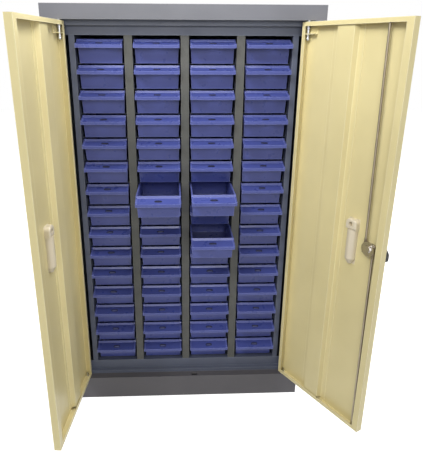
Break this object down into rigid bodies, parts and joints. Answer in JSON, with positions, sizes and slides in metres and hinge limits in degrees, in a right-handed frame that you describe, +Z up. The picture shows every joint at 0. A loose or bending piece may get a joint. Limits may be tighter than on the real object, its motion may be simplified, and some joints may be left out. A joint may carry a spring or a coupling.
{
  "type": "parts bin cabinet",
  "caption": "Free-standing steel parts cabinet with two hinged doors over a grid of sliding plastic bin drawers, and a key lock with two rods.",
  "frame": {"origin": "centre of the cabinet footprint, on the surface it stands on", "axes": "+X to the right seen from the front, front towards -Y, +Z up"},
  "size_m": [0.6965, 0.4697, 0.94],
  "materials": {
    "grey_frame_paint": "satin powder coat",
    "grey_cap_paint": "satin powder coat",
    "grey_plinth_paint": "satin powder coat",
    "grey_divider_paint": "fine textured powder coat",
    "runner_paint": "satin powder coat",
    "zinc_steel": "zinc plated",
    "cream_door_paint": "semi-gloss powder coat",
    "cream_plastic": "smooth moulded",
    "chrome": "polished",
    "black_plastic": "moulded",
    "zinc_rod": "drawn steel, zinc plated",
    "blue_plastic": "satin moulded"
  },
  "bodies": {
    "cabinet": {"top_cap": "grey_cap_paint", "base_plinth": "grey_plinth_paint", "left_side_panel": "grey_frame_paint", "right_side_panel": "grey_frame_paint", "back_panel": "grey_frame_paint", "header_rail": "grey_frame_paint", "sill_rail": "grey_frame_paint", "left_jamb": "grey_frame_paint", "right_jamb": "grey_frame_paint", "divider_1": "grey_divider_paint", "divider_2": "grey_divider_paint", "divider_3": "grey_divider_paint", "drawer_runners": "runner_paint", "bottom_pivots": "zinc_steel"},
    "left_door": {"left_door_panel": "cream_door_paint", "left_door_stiffener": "cream_door_paint", "left_handle_cup": "cream_plastic", "left_pin_bracket": "cream_door_paint"},
    "right_door": {"right_door_panel": "cream_door_paint", "right_door_stiffener": "cream_door_paint", "right_handle_cup": "cream_plastic", "right_pin_bracket": "cream_door_paint", "lock_body": "chrome"},
    "lock_turn": {"lock_cam": "chrome", "lock_key": "chrome", "key_head": "black_plastic"},
    "upper_rod": {"lock_rod_top": "zinc_rod"},
    "lower_rod": {"lock_rod_bottom": "zinc_rod"},
    "left_pin": {"left_hinge_pin": "zinc_steel"},
    "right_pin": {"right_hinge_pin": "zinc_steel"},
    "drawer_row06_column1_body": {"drawer_row06_column1": "blue_plastic"},
    "drawer_row06_column2_body": {"drawer_row06_column2": "blue_plastic"},
    "drawer_row06_column3_body": {"drawer_row06_column3": "blue_plastic"},
    "drawer_row06_column4_body": {"drawer_row06_column4": "blue_plastic"},
    "drawer_row07_column1_body": {"drawer_row07_column1": "blue_plastic"},
    "drawer_row07_column2_body": {"drawer_row07_column2": "blue_plastic"},
    "drawer_row07_column3_body": {"drawer_row07_column3": "blue_plastic"},
    "drawer_row07_column4_body": {"drawer_row07_column4": "blue_plastic"},
    "drawer_row08_column1_body": {"drawer_row08_column1": "blue_plastic"},
    "drawer_row08_column2_body": {"drawer_row08_column2": "blue_plastic"},
    "drawer_row08_column3_body": {"drawer_row08_column3": "blue_plastic"},
    "drawer_row08_column4_body": {"drawer_row08_column4": "blue_plastic"},
    "drawer_row09_column1_body": {"drawer_row09_column1": "blue_plastic"},
    "drawer_row09_column2_body": {"drawer_row09_column2": "blue_plastic"},
    "drawer_row09_column3_body": {"drawer_row09_column3": "blue_plastic"},
    "drawer_row09_column4_body": {"drawer_row09_column4": "blue_plastic"},
    "drawer_row10_column1_body": {"drawer_row10_column1": "blue_plastic"},
    "drawer_row10_column2_body": {"drawer_row10_column2": "blue_plastic"},
    "drawer_row10_column3_body": {"drawer_row10_column3": "blue_plastic"},
    "drawer_row10_column4_body": {"drawer_row10_column4": "blue_plastic"},
    "drawer_row01_body": {"drawer_row01": "blue_plastic"},
    "drawer_row02_body": {"drawer_row02": "blue_plastic"},
    "drawer_row03_body": {"drawer_row03": "blue_plastic"},
    "drawer_row04_body": {"drawer_row04": "blue_plastic"},
    "drawer_row05_body": {"drawer_row05": "blue_plastic"},
    "drawer_row11_body": {"drawer_row11": "blue_plastic"},
    "drawer_row12_body": {"drawer_row12": "blue_plastic"},
    "drawer_row13_body": {"drawer_row13": "blue_plastic"},
    "drawer_row14_body": {"drawer_row14": "blue_plastic"},
    "drawer_row15_body": {"drawer_row15": "blue_plastic"}
  },
  "joints": [
    {"name": "left_door_hinge", "type": "hinge", "parent": "cabinet", "child": "left_door", "pos_m": [-0.25299, -0.106, 0.485], "axis": [0, 0, -1], "range_deg": [-95.3, 24.7]},
    {"name": "right_door_hinge", "type": "hinge", "parent": "cabinet", "child": "right_door", "pos_m": [0.25299, -0.106, 0.485], "axis": [0, 0, 1], "range_deg": [-119.5, 0.5]},
    {"name": "key_turn", "type": "hinge", "parent": "right_door", "child": "lock_turn", "pos_m": [0.35653, -0.2949, 0.485], "axis": [0.8704, 0.4924, 0], "range_deg": [0, 90]},
    {"name": "upper_rod_slide", "type": "slide", "parent": "right_door", "child": "upper_rod", "axis": [-0.0092, 0.0163, 0.9998], "range_m": [0, 0.01416]},
    {"name": "lower_rod_slide", "type": "slide", "parent": "right_door", "child": "lower_rod", "axis": [0.0049, -0.0086, -1], "range_m": [0, 0.01416]},
    {"name": "left_pin_slide", "type": "slide", "parent": "left_door", "child": "left_pin", "axis": [0, 0, -1], "range_m": [0, 0.009]},
    {"name": "right_pin_slide", "type": "slide", "parent": "right_door", "child": "right_pin", "axis": [0, 0, -1], "range_m": [0, 0.009]},
    {"name": "drawer_row07_column2_slide", "type": "slide", "parent": "cabinet", "child": "drawer_row07_column2_body", "axis": [0, -1, 0], "range_m": [-0.1, 0.02594]},
    {"name": "drawer_row07_column3_slide", "type": "slide", "parent": "cabinet", "child": "drawer_row07_column3_body", "axis": [0, -1, 0], "range_m": [-0.095, 0.00042]},
    {"name": "drawer_row09_column3_slide", "type": "slide", "parent": "cabinet", "child": "drawer_row09_column3_body", "axis": [0, -1, 0], "range_m": [-0.082, 0.00036]},
    {"name": "drawer_row06_column1_slide", "type": "slide", "parent": "cabinet", "child": "drawer_row06_column1_body", "axis": [0, -1, 0], "range_m": [0, 0.14]},
    {"name": "drawer_row06_column2_slide", "type": "slide", "parent": "cabinet", "child": "drawer_row06_column2_body", "axis": [0, -1, 0], "range_m": [0, 0.14]},
    {"name": "drawer_row06_column3_slide", "type": "slide", "parent": "cabinet", "child": "drawer_row06_column3_body", "axis": [0, -1, 0], "range_m": [0, 0.14]},
    {"name": "drawer_row06_column4_slide", "type": "slide", "parent": "cabinet", "child": "drawer_row06_column4_body", "axis": [0, -1, 0], "range_m": [0, 0.14]},
    {"name": "drawer_row07_column1_slide", "type": "slide", "parent": "cabinet", "child": "drawer_row07_column1_body", "axis": [0, -1, 0], "range_m": [0, 0.14]},
    {"name": "drawer_row07_column4_slide", "type": "slide", "parent": "cabinet", "child": "drawer_row07_column4_body", "axis": [0, -1, 0], "range_m": [0, 0.14]},
    {"name": "drawer_row08_column1_slide", "type": "slide", "parent": "cabinet", "child": "drawer_row08_column1_body", "axis": [0, -1, 0], "range_m": [0, 0.14]},
    {"name": "drawer_row08_column2_slide", "type": "slide", "parent": "cabinet", "child": "drawer_row08_column2_body", "axis": [0, -1, 0], "range_m": [0, 0.14]},
    {"name": "drawer_row08_column3_slide", "type": "slide", "parent": "cabinet", "child": "drawer_row08_column3_body", "axis": [0, -1, 0], "range_m": [0, 0.14]},
    {"name": "drawer_row08_column4_slide", "type": "slide", "parent": "cabinet", "child": "drawer_row08_column4_body", "axis": [0, -1, 0], "range_m": [0, 0.14]},
    {"name": "drawer_row09_column1_slide", "type": "slide", "parent": "cabinet", "child": "drawer_row09_column1_body", "axis": [0, -1, 0], "range_m": [0, 0.14]},
    {"name": "drawer_row09_column2_slide", "type": "slide", "parent": "cabinet", "child": "drawer_row09_column2_body", "axis": [0, -1, 0], "range_m": [0, 0.14]},
    {"name": "drawer_row09_column4_slide", "type": "slide", "parent": "cabinet", "child": "drawer_row09_column4_body", "axis": [0, -1, 0], "range_m": [0, 0.14]},
    {"name": "drawer_row10_column1_slide", "type": "slide", "parent": "cabinet", "child": "drawer_row10_column1_body", "axis": [0, -1, 0], "range_m": [0, 0.14]},
    {"name": "drawer_row10_column2_slide", "type": "slide", "parent": "cabinet", "child": "drawer_row10_column2_body", "axis": [0, -1, 0], "range_m": [0, 0.14]},
    {"name": "drawer_row10_column3_slide", "type": "slide", "parent": "cabinet", "child": "drawer_row10_column3_body", "axis": [0, -1, 0], "range_m": [0, 0.14]},
    {"name": "drawer_row10_column4_slide", "type": "slide", "parent": "cabinet", "child": "drawer_row10_column4_body", "axis": [0, -1, 0], "range_m": [0, 0.14]},
    {"name": "drawer_row01_slide", "type": "slide", "parent": "cabinet", "child": "drawer_row01_body", "axis": [0, -1, 0], "range_m": [0, 0.14]},
    {"name": "drawer_row02_slide", "type": "slide", "parent": "cabinet", "child": "drawer_row02_body", "axis": [0, -1, 0], "range_m": [0, 0.14]},
    {"name": "drawer_row03_slide", "type": "slide", "parent": "cabinet", "child": "drawer_row03_body", "axis": [0, -1, 0], "range_m": [0, 0.14]},
    {"name": "drawer_row04_slide", "type": "slide", "parent": "cabinet", "child": "drawer_row04_body", "axis": [0, -1, 0], "range_m": [0, 0.14]},
    {"name": "drawer_row05_slide", "type": "slide", "parent": "cabinet", "child": "drawer_row05_body", "axis": [0, -1, 0], "range_m": [0, 0.14]},
    {"name": "drawer_row11_slide", "type": "slide", "parent": "cabinet", "child": "drawer_row11_body", "axis": [0, -1, 0], "range_m": [0, 0.14]},
    {"name": "drawer_row12_slide", "type": "slide", "parent": "cabinet", "child": "drawer_row12_body", "axis": [0, -1, 0], "range_m": [0, 0.14]},
    {"name": "drawer_row13_slide", "type": "slide", "parent": "cabinet", "child": "drawer_row13_body", "axis": [0, -1, 0], "range_m": [0, 0.14]},
    {"name": "drawer_row14_slide", "type": "slide", "parent": "cabinet", "child": "drawer_row14_body", "axis": [0, -1, 0], "range_m": [0, 0.14]},
    {"name": "drawer_row15_slide", "type": "slide", "parent": "cabinet", "child": "drawer_row15_body", "axis": [0, -1, 0], "range_m": [0, 0.14]}
  ],
  "couplings": [
    {"joint": "upper_rod_slide", "follows": "key_turn", "m_per_rad": 0.0090032},
    {"joint": "lower_rod_slide", "follows": "key_turn", "m_per_rad": 0.0090032},
    {"joint": "drawer_row07_column2_slide", "follows": "left_door_hinge", "m_per_rad": 0.060121},
    {"joint": "drawer_row07_column3_slide", "follows": "right_door_hinge", "m_per_rad": 0.045549},
    {"joint": "drawer_row09_column3_slide", "follows": "right_door_hinge", "m_per_rad": 0.039316}
  ]
}
